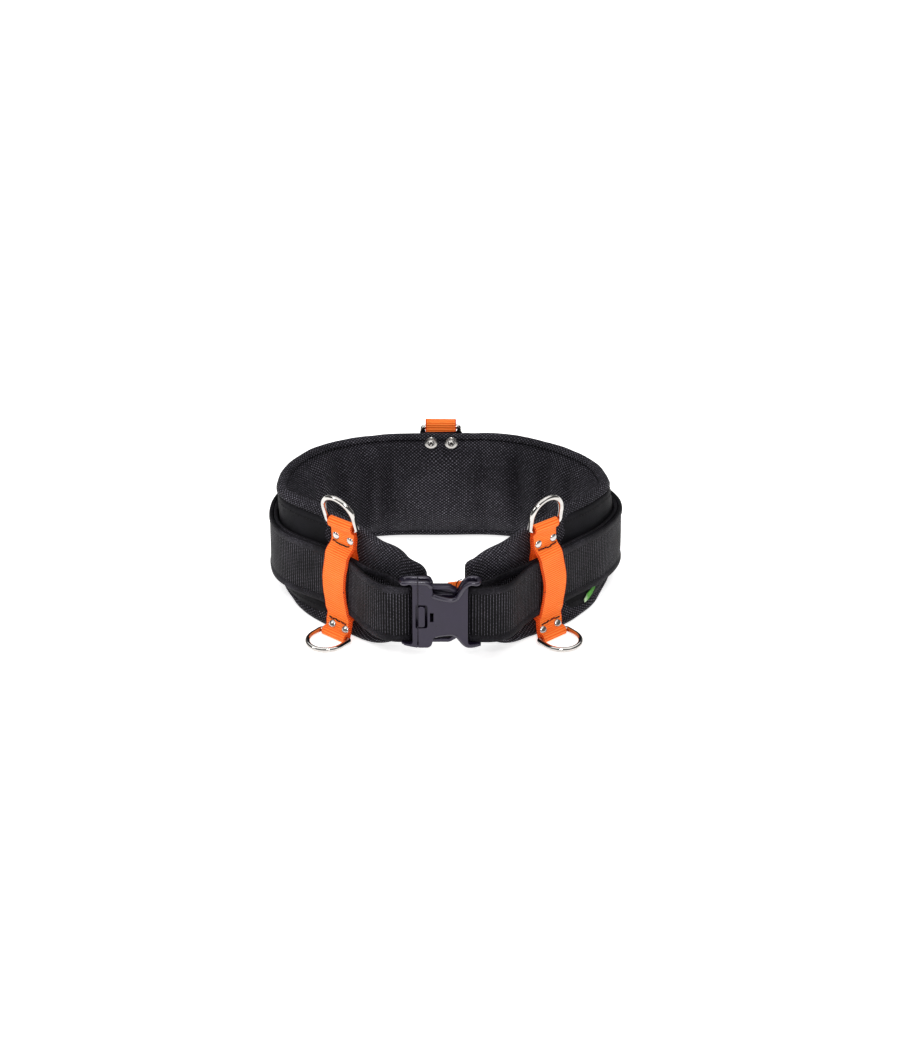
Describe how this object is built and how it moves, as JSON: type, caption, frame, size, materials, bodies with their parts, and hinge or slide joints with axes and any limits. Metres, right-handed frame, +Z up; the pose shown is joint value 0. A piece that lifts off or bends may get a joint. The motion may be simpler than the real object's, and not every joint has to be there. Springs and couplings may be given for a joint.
{
  "type": "d-ring belt",
  "caption": "Padded work belt on wide webbing with a side-release buckle, orange ring straps crossing it, and metal D-rings at their ends.",
  "frame": {"origin": "on the surface below, under the middle of the belt's outline, rings included", "axes": "+X to the wearer's left as seen from the buckle side, to the right in the picture; +Y from the buckle towards the back; +Z up"},
  "size_m": [0.293, 0.2814, 0.1279],
  "materials": {
    "black_spacer_mesh": "matt open mesh",
    "black_nylon_cloth": "matt cloth",
    "black_belt_webbing": "matt ribbed webbing",
    "orange_webbing": "ribbed webbing",
    "green_webbing": "plain webbing",
    "black_acetal": "fine matt moulded plastic",
    "nickel_plated_steel": "bright nickel plate"
  },
  "bodies": {
    "belt": {"comfort_pad": "black_spacer_mesh", "pad_panel": "black_nylon_cloth", "back_patch": "black_nylon_cloth", "belt_webbing": "black_belt_webbing", "left_ring_strap": "orange_webbing", "right_ring_strap": "orange_webbing", "back_ring_strap": "orange_webbing", "orange_tab": "orange_webbing", "side_tag": "green_webbing", "buckle_plug": "black_acetal", "buckle_socket": "black_acetal", "buckle_button": "black_acetal", "left_top_rivet_1": "nickel_plated_steel", "left_top_rivet_2": "nickel_plated_steel", "left_foot_rivet_1": "nickel_plated_steel", "left_foot_rivet_2": "nickel_plated_steel", "right_top_rivet_1": "nickel_plated_steel", "right_top_rivet_2": "nickel_plated_steel", "right_foot_rivet_1": "nickel_plated_steel", "right_foot_rivet_2": "nickel_plated_steel", "back_top_rivet_1": "nickel_plated_steel", "back_top_rivet_2": "nickel_plated_steel", "back_foot_rivet_1": "nickel_plated_steel", "back_foot_rivet_2": "nickel_plated_steel"},
    "left_top_ring": {"left_top_ring": "nickel_plated_steel"},
    "left_foot_ring": {"left_foot_ring": "nickel_plated_steel"},
    "right_top_ring": {"right_top_ring": "nickel_plated_steel"},
    "right_foot_ring": {"right_foot_ring": "nickel_plated_steel"},
    "back_top_ring": {"back_top_ring": "nickel_plated_steel"},
    "back_foot_ring": {"back_foot_ring": "nickel_plated_steel"}
  },
  "joints": [
    {"name": "left_top_ring_swing", "type": "hinge", "parent": "belt", "child": "left_top_ring", "pos_m": [-0.08288, -0.08591, 0.0988], "axis": [0.7678, -0.6407, 0], "range_deg": [-92, 141]},
    {"name": "right_top_ring_swing", "type": "hinge", "parent": "belt", "child": "right_top_ring", "pos_m": [0.07922, -0.08624, 0.0988], "axis": [0.7658, 0.643, 0], "range_deg": [-85, 144]},
    {"name": "back_top_ring_swing", "type": "hinge", "parent": "belt", "child": "back_top_ring", "pos_m": [-0.00447, 0.10169, 0.098], "axis": [-0.9998, -0.0187, 0], "range_deg": [-195, 0]},
    {"name": "left_foot_ring_swing", "type": "hinge", "parent": "belt", "child": "left_foot_ring", "pos_m": [-0.0895, -0.09481, 0.004], "axis": [0.745, -0.6671, 0], "range_deg": [-85, 85]},
    {"name": "right_foot_ring_swing", "type": "hinge", "parent": "belt", "child": "right_foot_ring", "pos_m": [0.08665, -0.0945, 0.004], "axis": [0.7429, 0.6694, 0], "range_deg": [-85, 85]},
    {"name": "back_foot_ring_swing", "type": "hinge", "parent": "belt", "child": "back_foot_ring", "pos_m": [-0.00465, 0.11129, 0.004], "axis": [-0.9998, -0.0187, 0], "range_deg": [-85, 85]}
  ]
}
